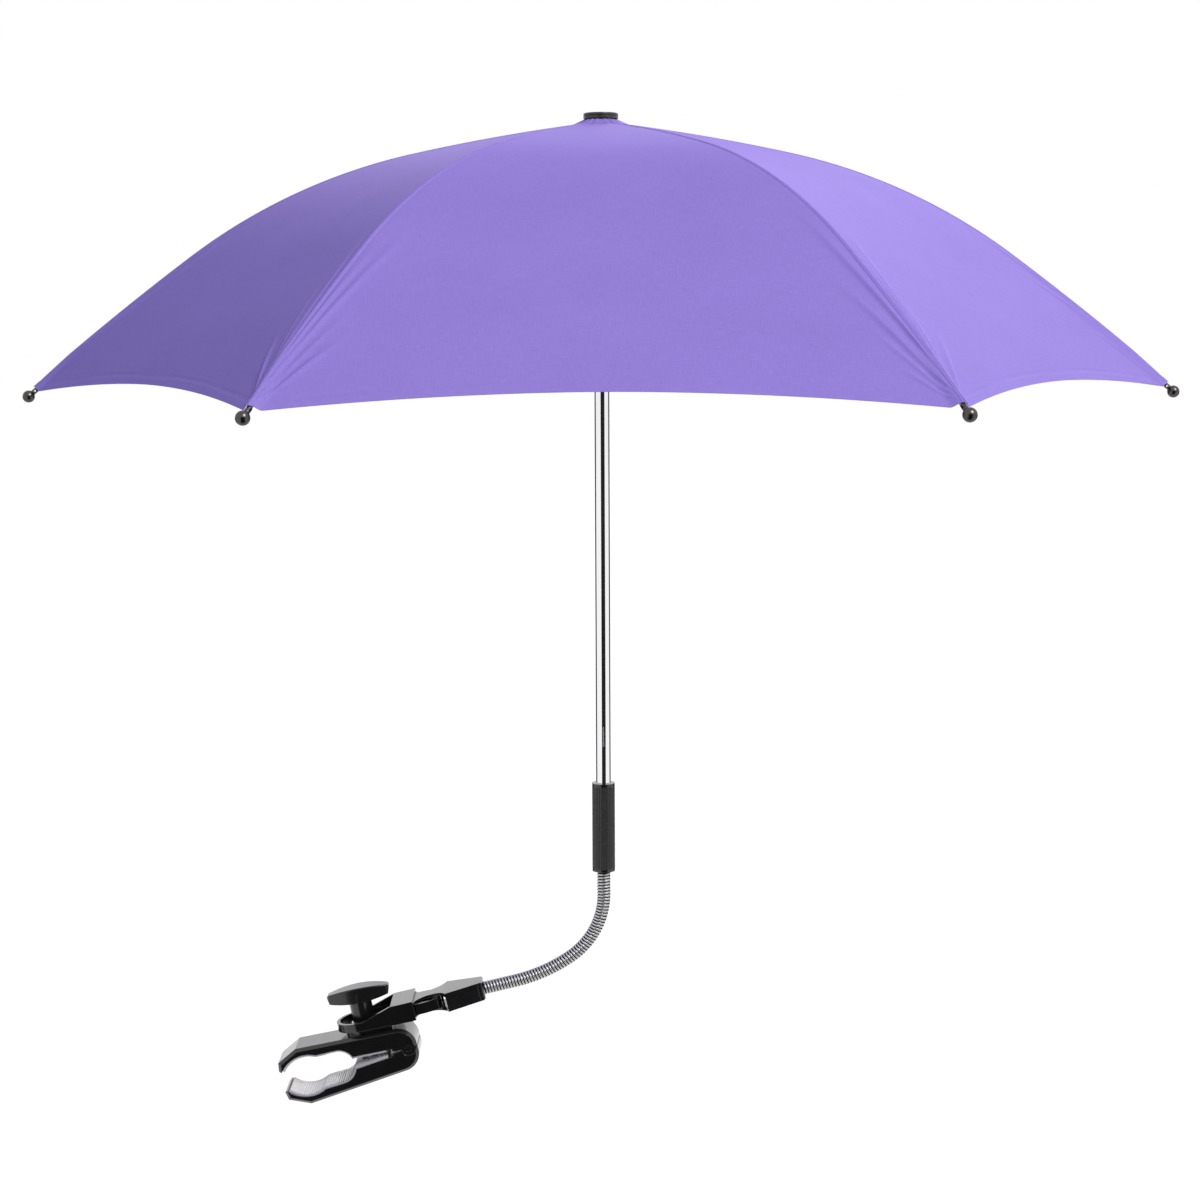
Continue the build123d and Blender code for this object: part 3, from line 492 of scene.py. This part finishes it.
# The hem is turned and stitched, and the points at the cap spread over a short round collar.
hem_edge_r = 0.3715
hem_rise = 0.0105
hem_height, hem_outer, hem_inner = 0.00022, 0.0052, 0.0062
hem_stitch_depth, hem_stitch_place, hem_stitch_width = 0.00030, 0.0064, 0.0006
cap_over_cloth = 0.0038
collar_hole_r = 0.0085
collar_r, collar_spread = 0.0155, 0.006
collar_share, collar_even, collar_settled = 0.05, 0.25, 0.85
gather_height, gather_from, gather_to = 0.00016, 0.012, 0.030

# The seam is a raised band with a crease beside it, and each gore sags a little between two seams.
seam_band = 0.0013
seam_inner, seam_outer = 0.75 * seam_band, 1.25 * seam_band
seam_height, seam_fade = 0.00030, 0.008
seam_crease_depth = 0.45 * seam_height
seam_crease_place, seam_crease_width = 1.5 * seam_band, 0.0005
gore_hollow, hollow_from, hollow_full = 0.0022, 0.05, 0.25
round_to_r, flat_from_r = 0.012, 0.05

# Folds fan out of each corner: angle off the rib and width in degrees, and length in metres.
corner_folds = (
    (3.0, 0.9, 0.17),
    (6.5, 1.2, 0.13),
    (11.0, 1.5, 0.10),
    (21.0, 2.0, 0.065),
    (27.0, 2.2, 0.055),
)
fold_steepness, fold_fade_from = 0.85, 0.3
fold_turn_range, fold_width_range, fold_length_range = 0.16, 0.20, 0.25
fold_seam_gap, fold_seam_rise = 0.0008, 0.0025

pole_low, pole_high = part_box("pole")
axis_x = (pole_low.x + pole_high.x) / 2
pivot_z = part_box("crown_ring")[0].z + ring_wire_r
gore_angle = math.pi / ribs
rib_run = sum(radius * math.radians(turn) for radius, turn in rib_arcs)
seat_along = rib_run - corner_lift_reach


def rib_ridge(along):
    """Radius, height and slope of the cloth's ridge over a rib, at a length along the rib."""
    r, z, slope, total = pivot_r, pivot_z, math.radians(rib_start_slope), along
    for radius, turn in rib_arcs:
        length = radius * math.radians(turn)
        step = min(max(along, 0.0), length)
        after = slope + step / radius
        r += radius * (math.sin(after) - math.sin(slope))
        z -= radius * (math.cos(slope) - math.cos(after))
        slope = after
        along -= step
    r += along * math.cos(slope)
    z -= along * math.sin(slope)
    lift = cloth_lift
    if total > seat_along:
        lift += (corner_lift - cloth_lift) * min((total - seat_along) / (rib_run - seat_along), 1.0)
    return r + lift * math.sin(slope), z + lift * math.cos(slope), slope


def length_where(radius):
    """The length along a rib at which the cloth's ridge reaches a radius."""
    low, high = 0.0, rib_run + 0.1
    halvings = 50
    for _ in range(halvings):
        middle = (low + high) / 2
        if rib_ridge(middle)[0] < radius:
            low = middle
        else:
            high = middle
    return (low + high) / 2


collar_along, hem_along = length_where(collar_r + collar_spread), length_where(hem_edge_r)
cap_seat_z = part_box("canopy_cap")[1].z - cap_over_cloth
hem_slope = rib_ridge(hem_along)[2]
hem_cut = hem_rise / math.sin(hem_slope)


def smooth_step(value, low, high):
    """0 below low, 1 above high, and a soft ramp between them."""
    t = min(max((value - low) / (high - low), 0.0), 1.0)
    return t * t * (3 - 2 * t)


def cloth_line(share):
    """The ridge's radius, height and length along the rib, for a share from 0 at the cap to 1 at the hem."""
    if share < collar_share:
        t = share / collar_share
        end_r, end_z, _ = rib_ridge(collar_along)
        r = collar_hole_r + (end_r - collar_hole_r) * t
        drop = cap_seat_z - end_z
        fall = collar_even * t + (1 - collar_even) * smooth_step(t, 0.0, collar_settled)
        return r, cap_seat_z - drop * fall, collar_along * t
    along = collar_along + (hem_along - collar_along) * (share - collar_share) / (1 - collar_share)
    r, z, _ = rib_ridge(along)
    return r, z, along


def ridge_of(distance, width):
    """A rounded ridge of height 1 over distance 0."""
    return math.exp(-((distance / width) ** 2))


def wrinkle(down, across, seed):
    """Height of a corner's folds at a place down the rib and across the gore; no two seeds match."""
    reach = math.hypot(down, across)
    angle = math.degrees(math.atan2(across, max(down, 1e-6)))
    height = 0.0
    for k, (middle, width, longest) in enumerate(corner_folds):
        middle += fold_turn_range * middle * math.sin(seed * 2.3 + k * 1.7)
        width *= 1.0 + fold_width_range * math.sin(seed * 1.3 + k * 2.9)
        longest *= 1.0 + fold_length_range * math.sin(seed * 3.1 + k * 2.1)
        fade = 1.0 - smooth_step(reach, longest * fold_fade_from, longest)
        swell = ridge_of(angle - middle, width)
        height += fold_steepness * reach * math.radians(width) * fade * swell
    return height * smooth_step(across, fold_seam_gap, fold_seam_rise)


collar_rows, gore_rows = 14, 168
seam_columns, gore_columns = 12, 76
seam_reach, seam_reach_most = 0.004, 0.35
row_lead, column_even = 0.45, 0.25


def stretched_grid(out, aside, side):
    """A half gore's points as stretched between the ribs, and their places on the flat cut cloth."""
    grid = np.zeros((gore_rows + 1, gore_columns + 1, 3))
    cut = np.zeros((gore_rows + 1, gore_columns + 1, 2))
    for m in range(gore_rows + 1):
        if m < collar_rows:
            share = collar_share * m / collar_rows
        else:
            part = (m - collar_rows) / (gore_rows - collar_rows)
            share = collar_share + (1 - collar_share) * ((1 + row_lead) * part - row_lead * part**2)
        half_chord = cloth_line(share)[0] * math.sin(gore_angle)
        near = min(seam_reach, seam_reach_most * half_chord)
        for n in range(gore_columns + 1):
            if n <= seam_columns:
                across = near * n / seam_columns
            else:
                part = (n - seam_columns) / (gore_columns - seam_columns)
                across = near + (half_chord - near) * (column_even * part + (1 - column_even) * part**2)
            lateral = across / half_chord
            hem_pull = hem_cut * (1 - (1 - lateral) ** 2) * share**3
            r, z, along = cloth_line(share - hem_pull / (hem_along / (1 - collar_share)))
            roundness = 1 - smooth_step(r, round_to_r, flat_from_r)
            angle = gore_angle * lateral
            chord_x = r * (1 - lateral * (1 - math.cos(gore_angle) ** 2))
            chord_y = r * lateral * math.sin(gore_angle) * math.cos(gore_angle)
            x = chord_x + (r * math.cos(angle) - chord_x) * roundness
            y = chord_y + (r * math.sin(angle) - chord_y) * roundness
            grid[m, n] = out * x + aside * y + Vector((0.0, 0.0, z))
            cut[m, n] = (-side * (1 - lateral) * half_chord, along)
    return grid, cut


def cloth_normals(grid, side):
    """Unit normals of a half gore's grid, all turned upwards."""
    down_step = np.gradient(grid, axis=0)
    side_step = np.gradient(grid, axis=1)
    normals = np.cross(side_step, down_step) * side
    normals /= np.linalg.norm(normals, axis=2, keepdims=True)
    return normals * np.sign(normals[:, :, 2:3])


def sewn_grid(grid, cut, aside, side, seed):
    """The stretched grid with its seam, hem, corner folds, hollow and gathers raised."""
    normals = cloth_normals(grid, side)
    sewn = grid.copy()
    for m in range(gore_rows + 1):
        for n in range(gore_columns + 1):
            r = math.hypot(grid[m, n, 0], grid[m, n, 1])
            along = cut[m, n, 1]
            away = float(np.dot(grid[m, n], aside))
            down = hem_along - along
            middle_away = r * math.sin(gore_angle) * math.cos(gore_angle)
            lateral = min(away / max(middle_away, 1e-6), 1.0)
            hem_gap = down - hem_cut * (1 - (1 - lateral) ** 2)
            seam = seam_height * (1 - smooth_step(away, seam_inner, seam_outer))
            seam -= seam_crease_depth * ridge_of(away - seam_crease_place, seam_crease_width)
            height = seam * smooth_step(along, 0.0, seam_fade)
            height += wrinkle(down, away, seed)
            height += hem_height * (1 - smooth_step(hem_gap, hem_outer, hem_inner))
            height -= hem_stitch_depth * ridge_of(hem_gap - hem_stitch_place, hem_stitch_width)
            hollow = math.sin(math.pi / 2 * lateral) * smooth_step(along, hollow_from, hollow_full)
            height -= gore_hollow * hollow
            gather = math.cos(3 * math.pi * lateral) * (1 - smooth_step(r, gather_from, gather_to))
            height += gather_height * gather
            sewn[m, n] += normals[m, n] * height
            near_hem = 1 - smooth_step(down, 0.0, corner_drop_reach)
            sewn[m, n, 2] -= corner_drop * near_hem * smooth_step(away, corner_drop_from, corner_drop_full)
    return sewn


def gore_faces(side):
    """Faces of both skins of a half gore, the number of those, and then the faces of its cut edge."""
    wide = gore_columns + 1
    layer = (gore_rows + 1) * wide
    faces = []
    for m in range(gore_rows):
        for n in range(gore_columns):
            a = m * wide + n
            quad = (a, a + wide, a + wide + 1, a + 1)
            if side < 0:
                quad = quad[::-1]
            faces.append(quad)
            faces.append(tuple(v + layer for v in quad[::-1]))
    skin = len(faces)
    border = [(m, 0) for m in range(gore_rows)]
    border += [(gore_rows, n) for n in range(gore_columns)]
    border += [(m, gore_columns) for m in range(gore_rows, 0, -1)]
    border += [(0, n) for n in range(gore_columns, 0, -1)]
    loop = [m * wide + n for m, n in border]
    for a, b in zip(loop, loop[1:] + loop[:1]):
        quad = (b, a, a + layer, b + layer)
        faces.append(quad if side > 0 else quad[::-1])
    return faces, skin


def half_gore(name, rib, side, finish):
    """Half of a gore: from a rib (counted from 0) to the gore's middle, on one side of the rib."""
    spoke = 2 * math.pi * rib / ribs
    out = Vector((math.cos(spoke), math.sin(spoke), 0.0))
    aside = Vector((-math.sin(spoke), math.cos(spoke), 0.0)) * side
    seed = rib * 2 + (1 if side > 0 else 0) + 1.0
    grid, cut = stretched_grid(out, aside, side)
    sewn = sewn_grid(grid, cut, np.array(aside), side, seed)
    shade = cloth_normals(sewn, side)
    to_next = aside * math.cos(gore_angle) - out * math.sin(gore_angle)
    for column, border_direction in ((0, np.array(aside)), (-1, np.array(to_next))):
        edge = shade[:, column]
        edge = edge - np.outer(edge @ border_direction, border_direction)
        shade[:, column] = edge / np.linalg.norm(edge, axis=1, keepdims=True)
    top = sewn + np.array((axis_x, 0.0, 0.0))
    under = top - shade * cloth_wall
    points = np.concatenate((top.reshape(-1, 3), under.reshape(-1, 3)))
    normals = np.concatenate((shade.reshape(-1, 3), -shade.reshape(-1, 3)))
    maps = np.concatenate((cut.reshape(-1, 2), cut.reshape(-1, 2)))
    faces, skin = gore_faces(side)
    piece = new_piece(name, points, faces, finish)
    mesh = piece.data
    cloth_map = mesh.uv_layers.new(name="cloth")
    split = []
    for face in mesh.polygons:
        cut_edge = face.index >= skin
        for corner in face.loop_indices:
            vertex = mesh.loops[corner].vertex_index
            cloth_map.data[corner].uv = maps[vertex]
            split.append(tuple(face.normal) if cut_edge else tuple(normals[vertex]))
    mesh.normals_split_custom_set(split)
    return piece


def woven_polyester(name):
    """Thin plain-weave polyester: slubs along the weft, a fine weave, and a soft sheen."""
    finish, made, links, shader = plain_finish(name, (0.30, 0.226, 0.63), 0.0, 0.62)
    shader.inputs["Sheen Weight"].default_value = 0.12
    shader.inputs["Sheen Roughness"].default_value = 0.3
    shader.inputs["Sheen Tint"].default_value = (1.0, 0.95, 1.0, 1.0)
    shader.inputs["Specular IOR Level"].default_value = 0.0
    cloth = made.new("ShaderNodeUVMap")
    cloth.uv_map = "cloth"
    weft = made.new("ShaderNodeMapping")
    weft.inputs["Scale"].default_value = (120.0, 1400.0, 1.0)
    slub = noise(made, 1.0, 3.0)
    warp = made.new("ShaderNodeMapping")
    warp.inputs["Scale"].default_value = (1400.0, 160.0, 1.0)
    thread = noise(made, 1.0, 2.0)
    cloud = noise(made, 14.0, 3.0)
    both = made.new("ShaderNodeMath")
    both.operation = "ADD"
    mixed = made.new("ShaderNodeMath")
    mixed.operation = "MULTIPLY_ADD"
    mixed.inputs[1].default_value = 0.7
    tint = two_tones(made, (0.268, 0.201, 0.580), (0.328, 0.248, 0.680))
    tint.clamp_factor = True
    spread = made.new("ShaderNodeMapRange")
    spread.inputs["From Min"].default_value = 0.85
    spread.inputs["From Max"].default_value = 1.85
    relief = fine_relief(made, 0.22, 0.0001)
    links.new(cloth.outputs["UV"], weft.inputs["Vector"])
    links.new(cloth.outputs["UV"], warp.inputs["Vector"])
    links.new(cloth.outputs["UV"], cloud.inputs["Vector"])
    links.new(weft.outputs["Vector"], slub.inputs["Vector"])
    links.new(warp.outputs["Vector"], thread.inputs["Vector"])
    links.new(slub.outputs["Fac"], both.inputs[0])
    links.new(thread.outputs["Fac"], both.inputs[1])
    links.new(cloud.outputs["Fac"], mixed.inputs[0])
    links.new(both.outputs["Value"], mixed.inputs[2])
    links.new(mixed.outputs["Value"], spread.inputs["Value"])
    links.new(spread.outputs["Result"], tint.inputs["Factor"])
    links.new(tint.outputs["Result"], shader.inputs["Base Color"])
    links.new(both.outputs["Value"], relief.inputs["Height"])
    links.new(relief.outputs["Normal"], shader.inputs["Normal"])
    return finish


purple_cloth = woven_polyester("purple woven polyester")

# Each half gore goes on its rib's body, with a mesh of its own.
middle_r, middle_z, _ = rib_ridge(hem_along * 0.5)
for rib in range(ribs):
    for side, end in ((1, "a"), (-1, "b")):
        half = half_gore(f"canopy_gore_{rib + 1}{end}", rib, side, purple_cloth)
        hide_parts("canopy")
        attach(half, f"rib_{rib + 1}_body")
        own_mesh(half)

# Cap. A dark moulded button covers the hole where the gores' points meet.
# Its spigot is pressed into the pole and clamps the cloth on the crown.

cap_black = moulded_plastic("cap dark plastic", (0.036, 0.034, 0.030), 0.4, 0.6, 0.2, skin=0.4)
finish_nodes(cap_black, "canopy_cap")

# Studio. A white floor in white surroundings, a key softbox in front on the right and another behind.
# Four black flags give chrome and gloss their dark bands. The camera stands where the photograph was
# taken from, a little above the tips and looking down.


def white_rays(made, links):
    """1 for the rays that see the white background: from the camera, off gloss and through glass."""
    rays = made.new("ShaderNodeLightPath")
    seen = rays.outputs["Is Camera Ray"]
    for kind in ("Is Glossy Ray", "Is Transmission Ray"):
        either = made.new("ShaderNodeMath")
        either.operation = "MAXIMUM"
        links.new(seen, either.inputs[0])
        links.new(rays.outputs[kind], either.inputs[1])
        seen = either.outputs["Value"]
    return seen


floor_size, floor_z = 12.0, -0.40
paint, made, links, shader = plain_finish("studio floor white", (0.80, 0.80, 0.80), 0.0, 0.9)
glow = made.new("ShaderNodeEmission")
glow.inputs["Strength"].default_value = 1.05
place = made.new("ShaderNodeTexCoord")
far = made.new("ShaderNodeVectorMath")
far.operation = "LENGTH"
fade = made.new("ShaderNodeMapRange")
fade.inputs["From Min"].default_value = 0.9
fade.inputs["From Max"].default_value = 2.2
fade.inputs["To Min"].default_value = 0.86
fade.inputs["To Max"].default_value = 1.0
white_share = made.new("ShaderNodeMath")
white_share.operation = "MULTIPLY"
pick = made.new("ShaderNodeMixShader")
links.new(place.outputs["Object"], far.inputs[0])
links.new(far.outputs["Value"], fade.inputs["Value"])
links.new(white_rays(made, links), white_share.inputs[0])
links.new(fade.outputs["Result"], white_share.inputs[1])
links.new(white_share.outputs["Value"], pick.inputs["Fac"])
links.new(shader.outputs["BSDF"], pick.inputs[1])
links.new(glow.outputs["Emission"], pick.inputs[2])
links.new(pick.outputs["Shader"], made["Material Output"].inputs["Surface"])
floor_corners = [
    (-floor_size, -floor_size, floor_z),
    (floor_size, -floor_size, floor_z),
    (floor_size, floor_size, floor_z),
    (-floor_size, floor_size, floor_z),
]
floor = new_piece("studio_floor", floor_corners, [(0, 1, 2, 3)], paint, smooth=False)

world = bpy.data.worlds.new("studio")
bpy.context.scene.world = world
world.use_nodes = True
made, links = world.node_tree.nodes, world.node_tree.links
sky = made["Background"]
sky.inputs["Color"].default_value = (0.75, 0.79, 1.36, 1.0)
sky.inputs["Strength"].default_value = 0.21
plain = made.new("ShaderNodeBackground")
plain.inputs["Color"].default_value = (1.0, 1.0, 1.0, 1.0)
plain.inputs["Strength"].default_value = 1.0
choose = made.new("ShaderNodeMixShader")
links.new(white_rays(made, links), choose.inputs["Fac"])
links.new(sky.outputs["Background"], choose.inputs[1])
links.new(plain.outputs["Background"], choose.inputs[2])
links.new(choose.outputs["Shader"], made["World Output"].inputs["Surface"])


def soft_light(name, place, aim, size, power, colour):
    """A square softbox at a place, turned towards a point."""
    lamp = bpy.data.lights.new(name, "AREA")
    lamp.shape = "SQUARE"
    lamp.size = size
    lamp.energy = power
    lamp.color = colour
    box = bpy.data.objects.new(name, lamp)
    box.location = place
    box.rotation_euler = (Vector(aim) - Vector(place)).to_track_quat("-Z", "Y").to_euler()
    bpy.context.scene.collection.objects.link(box)
    return box


canopy_middle = (axis_x, 0.0, 0.45)
lamp_white = (1.0, 0.975, 0.94)
softbox_size = 2.0
key_place = (axis_x + 2.21, -2.83, 3.92)
back_place = (axis_x + 1.16, 4.34, 2.64)
soft_light("key softbox", key_place, canopy_middle, softbox_size, 218.0, lamp_white)
back_light = soft_light("back softbox", back_place, canopy_middle, softbox_size, 315.0, lamp_white)
back_light.visible_glossy = False


flag_black, _, _, _ = plain_finish("flag black cloth", (0.01, 0.01, 0.01), 0.0, 1.0)
flag_low = floor_z + 0.01


def black_flag(name, corners):
    """A studio flag that only reflections see, so that chrome and gloss get their dark bands."""
    flag = new_piece(name, corners, [(0, 1, 2, 3)], flag_black, smooth=False)
    flag.visible_camera = False
    flag.visible_diffuse = False
    flag.visible_shadow = False
    flag.visible_transmission = False


def upright(x0, y0, x1, y1, high):
    """Corners of an upright flag that stands over a line on the floor."""
    return [(x0, y0, flag_low), (x1, y1, flag_low), (x1, y1, high), (x0, y0, high)]


black_flag("front_flag", upright(-0.9, -2.6, 2.2, -2.6, 1.3))
black_flag("left_flag", upright(-0.65, 1.56, -1.9, 0.7, 0.40))
black_flag("right_flag", upright(1.01, 1.56, 2.26, 0.7, 0.40))
floor_flag_outline = ((-0.9, -2.6), (2.2, -2.6), (0.5, -0.5), (-0.2, -0.5))
black_flag("floor_flag", [(x, y, flag_low) for x, y in floor_flag_outline])

# The camera was fitted to the photograph's four visible tips, its cap and its pole.
ball_r = 0.004
tip_plane_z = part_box("rib_tip_1")[0].z + ball_r
pitch_down, roll, round_pole = math.radians(7.149), math.radians(-0.239), math.radians(0.357)
camera_reach, camera_aside, camera_rise = 1.51645, 0.0018, 0.05409
camera_data = bpy.data.cameras.new("camera")
camera_data.sensor_width = 36.0
camera_data.lens = 69.165
camera_data.clip_end = 50.0
camera = bpy.data.objects.new("camera", camera_data)
camera.location = (
    axis_x - camera_aside * math.cos(round_pole) - camera_reach * math.sin(round_pole),
    -camera_reach * math.cos(round_pole),
    tip_plane_z + camera_rise,
)
turned = Matrix.Rotation(-round_pole, 3, "Z")
lowered = Matrix.Rotation(math.pi / 2 - pitch_down, 3, "X")
camera.rotation_euler = (turned @ lowered @ Matrix.Rotation(roll, 3, "Z")).to_euler()
bpy.context.scene.collection.objects.link(camera)
bpy.context.scene.camera = camera

bpy.context.scene.view_settings.view_transform = "Standard"
